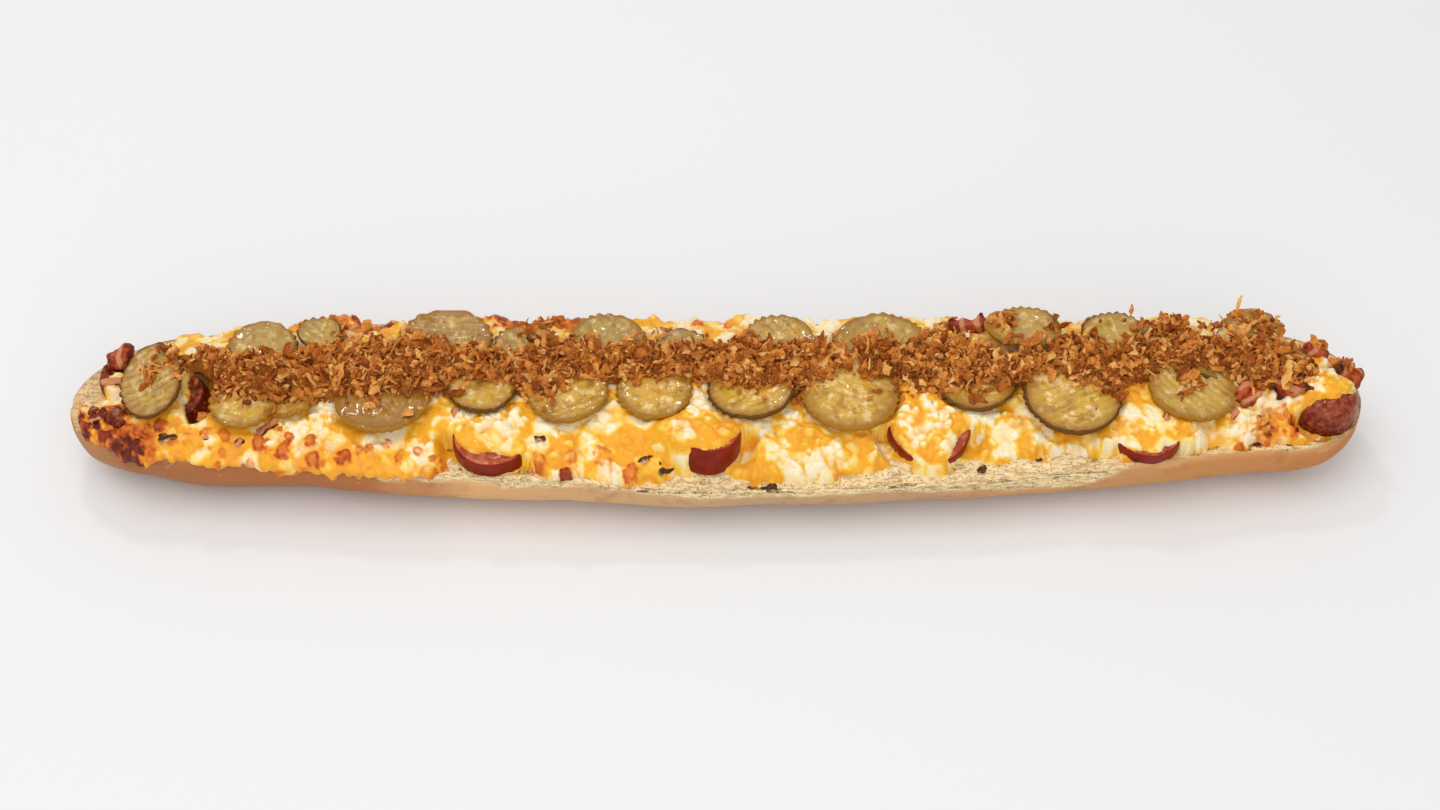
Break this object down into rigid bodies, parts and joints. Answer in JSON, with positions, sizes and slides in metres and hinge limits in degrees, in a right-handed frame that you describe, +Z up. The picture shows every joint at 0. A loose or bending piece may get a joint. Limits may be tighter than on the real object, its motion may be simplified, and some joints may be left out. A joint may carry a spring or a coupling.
{
  "type": "zapiekanka",
  "caption": "Long open-faced half baguette baked with melted cheese, sausage and bacon, topped with rows of gherkin slices and a ridge of crisp fried onion.",
  "frame": {"origin": "on the table under the middle of the loaf", "axes": "+X along the loaf to its right end, -Y its front edge, +Z up through the toppings"},
  "size_m": [0.4936, 0.0818, 0.0491],
  "materials": {
    "crust": "tan baked crust, matt, with a pale open crumb on the cut face",
    "cheese": "melted cheese, white and orange, glossy, with brown blisters",
    "sausage": "smoked sausage, red-brown skin, slightly glossy",
    "bacon": "diced bacon and ham, dark red with paler fat, slightly glossy",
    "gherkin": "pickled gherkin flesh, wet, with a dark olive rind",
    "onion": "crisp fried onion, golden to dark brown, matt"
  },
  "bodies": {
    "root": {"loaf": "crust", "sausage_slice_01": "sausage", "sausage_slice_02": "sausage", "sausage_slice_03": "sausage", "sausage_slice_04": "sausage", "sausage_slice_05": "sausage", "sausage_slice_06": "sausage", "sausage_slice_07": "sausage", "bacon_piece_01": "bacon", "bacon_piece_02": "bacon", "bacon_piece_03": "bacon", "bacon_piece_04": "bacon", "bacon_piece_05": "bacon", "bacon_piece_06": "bacon", "bacon_piece_07": "bacon", "bacon_piece_08": "bacon", "bacon_piece_09": "bacon", "gherkin_slice_01": "gherkin", "gherkin_slice_02": "gherkin", "gherkin_slice_03": "gherkin", "gherkin_slice_04": "gherkin", "gherkin_slice_05": "gherkin", "gherkin_slice_06": "gherkin", "gherkin_slice_07": "gherkin", "gherkin_slice_08": "gherkin", "gherkin_slice_09": "gherkin", "gherkin_slice_10": "gherkin", "gherkin_slice_11": "gherkin", "gherkin_slice_12": "gherkin", "gherkin_slice_13": "gherkin", "gherkin_slice_14": "gherkin", "gherkin_slice_15": "gherkin", "gherkin_slice_16": "gherkin", "gherkin_slice_17": "gherkin", "gherkin_slice_18": "gherkin", "gherkin_slice_19": "gherkin", "gherkin_slice_20": "gherkin", "gherkin_slice_21": "gherkin", "gherkin_slice_22": "gherkin", "gherkin_slice_23": "gherkin", "gherkin_slice_24": "gherkin", "gherkin_slice_25": "gherkin", "melted_cheese": "cheese", "fried_onion_heap": "onion"}
  },
  "joints": []
}
